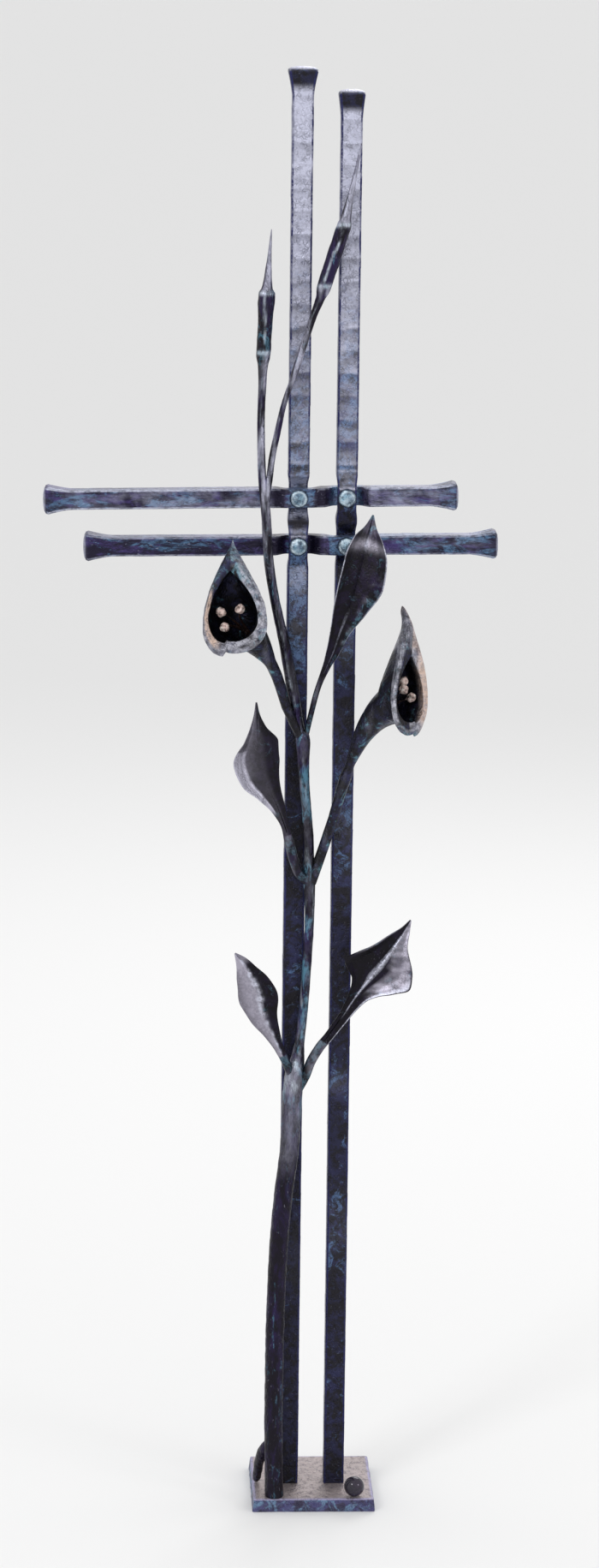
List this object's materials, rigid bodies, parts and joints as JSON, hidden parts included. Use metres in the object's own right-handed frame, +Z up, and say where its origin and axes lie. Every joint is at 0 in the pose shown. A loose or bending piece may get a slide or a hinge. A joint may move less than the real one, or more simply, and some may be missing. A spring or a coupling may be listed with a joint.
{
  "type": "wrought iron grave cross",
  "caption": "Slender wrought iron grave cross of woven square bars on a small plate, with a forged plant of callas, leaves and bulrushes climbing its front.",
  "frame": {"origin": "middle of the underside of the plate, where the cross is mounted", "axes": "+Z up along the uprights, +X to the right along the crossbars as seen from the front, -Y towards the front where the plant grows"},
  "size_m": [0.4324, 0.1423, 1.4021],
  "materials": {
    "forged_iron": "forged black iron with a blue, purple and teal heat patina, waxed satin",
    "worn_plate": "forged iron plate worn to a pinkish grey, with blue-violet hammered edges",
    "rivet_patina": "iron rivets with a pale teal patina",
    "ball_black": "polished black iron with a purple tint",
    "stamen_cream": "iron knobs brushed to a cream and pinkish brown"
  },
  "bodies": {
    "root": {"base_plate": "worn_plate", "upright_left": "forged_iron", "upright_right": "forged_iron", "crossbar_upper": "forged_iron", "crossbar_lower": "forged_iron", "rivet_upper_left": "rivet_patina", "rivet_upper_right": "rivet_patina", "rivet_lower_left": "rivet_patina", "rivet_lower_right": "rivet_patina", "main_stem": "forged_iron", "calla_left": "forged_iron", "calla_right": "forged_iron", "stamens_left": "stamen_cream", "stamens_right": "stamen_cream", "leaf_upper_right": "forged_iron", "leaf_middle_left": "forged_iron", "leaf_lower_left": "forged_iron", "leaf_lower_right": "forged_iron", "bulrush_left": "forged_iron", "bulrush_right": "forged_iron", "ball": "ball_black"}
  },
  "joints": []
}
